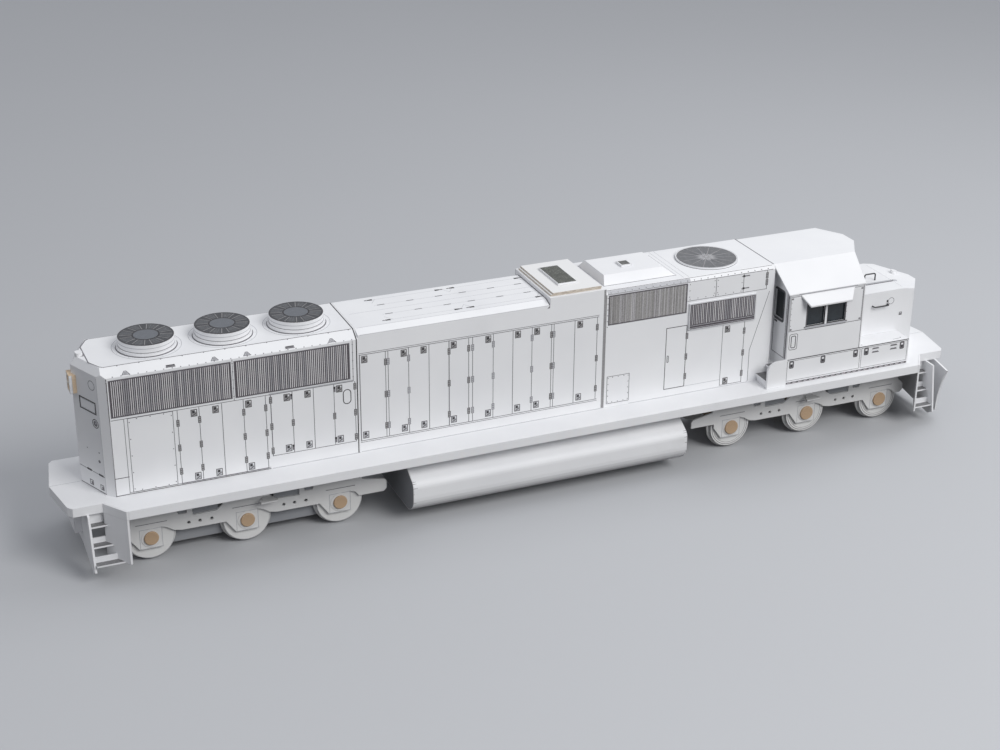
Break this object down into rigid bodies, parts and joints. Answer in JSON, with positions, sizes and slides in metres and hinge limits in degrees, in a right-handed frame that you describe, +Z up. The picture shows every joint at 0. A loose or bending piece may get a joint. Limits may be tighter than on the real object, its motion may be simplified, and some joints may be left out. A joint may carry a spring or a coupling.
{
  "type": "diesel locomotive card model",
  "caption": "Folded card scale model of a road-switcher diesel locomotive with swivelling trucks and wheelsets that turn freely on wooden dowel axles.",
  "frame": {"origin": "on the surface the wheels stand on, midway between the tips of the two end porches and on the centre line", "axes": "+X towards the cab end along the length, +Y to the left-hand side, +Z up"},
  "size_m": [0.4508, 0.0698, 0.0997],
  "materials": {
    "white_card": "bright white matt card with fine printed panel lines",
    "truck_card": "white matt card, laminated, printed with thin lines",
    "wheel_card": "white matt laminated card discs",
    "grey_card": "mid-grey matt card",
    "grey_print": "white matt card printed slate grey",
    "board": "raw cut edges of grey-brown board under a white face",
    "dowel": "bare beech dowel, end grain showing",
    "wire": "thin dark wire",
    "film": "dark glossy window film"
  },
  "bodies": {
    "body": {"deck": "white_card", "underframe": "grey_card", "pivot_pins": "dowel", "rear_hood": "white_card", "radiator_fan_1": "white_card", "radiator_fan_2": "white_card", "radiator_fan_3": "white_card", "rear_headlight": "white_card", "engine_hood": "white_card", "exhaust_box": "board", "exhaust_grille": "grey_print", "central_hood": "white_card", "filter_hatch": "white_card", "hatch_vent": "grey_print", "brake_fan": "white_card", "framed_grilles": "grey_print", "cab_floor": "white_card", "cab_right_wall": "white_card", "cab_left_wall": "white_card", "cab_rear_wall": "white_card", "cab_front_wall": "white_card", "cab_roof": "white_card", "cab_glazing": "film", "cab_headlight_housing": "white_card", "sunshades": "white_card", "nose": "white_card", "grab_irons": "wire", "right_battery_box": "white_card", "left_battery_box": "white_card", "right_cab_steps": "white_card", "left_cab_steps": "white_card", "rear_right_ladder": "white_card", "rear_left_ladder": "white_card", "front_right_ladder": "white_card", "front_left_ladder": "white_card", "rear_pilot": "white_card", "front_pilot": "white_card", "coupler_pocket": "white_card", "snow_plow": "white_card", "fuel_tank": "white_card"},
    "rear_truck": {"rear_truck_core": "grey_card", "rear_truck_right_frame": "truck_card", "rear_truck_left_frame": "truck_card"},
    "front_truck": {"front_truck_core": "grey_card", "front_truck_right_frame": "truck_card", "front_truck_left_frame": "truck_card"},
    "wheelset_1": {"axle_1": "dowel", "wheels_1": "wheel_card"},
    "wheelset_2": {"axle_2": "dowel", "wheels_2": "wheel_card"},
    "wheelset_3": {"axle_3": "dowel", "wheels_3": "wheel_card"},
    "wheelset_4": {"axle_4": "dowel", "wheels_4": "wheel_card"},
    "wheelset_5": {"axle_5": "dowel", "wheels_5": "wheel_card"},
    "wheelset_6": {"axle_6": "dowel", "wheels_6": "wheel_card"}
  },
  "joints": [
    {"name": "rear_truck_swivel", "type": "hinge", "parent": "body", "child": "rear_truck", "pos_m": [-0.14385, 0, 0.03085], "axis": [0, 0, 1], "range_deg": [-6, 6]},
    {"name": "front_truck_swivel", "type": "hinge", "parent": "body", "child": "front_truck", "pos_m": [0.14465, 0, 0.03085], "axis": [0, 0, 1], "range_deg": [-6, 6]},
    {"name": "wheelset_1_spin", "type": "hinge", "parent": "rear_truck", "child": "wheelset_1", "pos_m": [-0.18695, 0, 0.0117], "axis": [0, 1, 0], "continuous": true},
    {"name": "wheelset_2_spin", "type": "hinge", "parent": "rear_truck", "child": "wheelset_2", "pos_m": [-0.14385, 0, 0.0117], "axis": [0, 1, 0], "continuous": true},
    {"name": "wheelset_3_spin", "type": "hinge", "parent": "rear_truck", "child": "wheelset_3", "pos_m": [-0.10075, 0, 0.0117], "axis": [0, 1, 0], "continuous": true},
    {"name": "wheelset_4_spin", "type": "hinge", "parent": "front_truck", "child": "wheelset_4", "pos_m": [0.10155, 0, 0.0117], "axis": [0, 1, 0], "continuous": true},
    {"name": "wheelset_5_spin", "type": "hinge", "parent": "front_truck", "child": "wheelset_5", "pos_m": [0.14465, 0, 0.0117], "axis": [0, 1, 0], "continuous": true},
    {"name": "wheelset_6_spin", "type": "hinge", "parent": "front_truck", "child": "wheelset_6", "pos_m": [0.18775, 0, 0.0117], "axis": [0, 1, 0], "continuous": true}
  ]
}
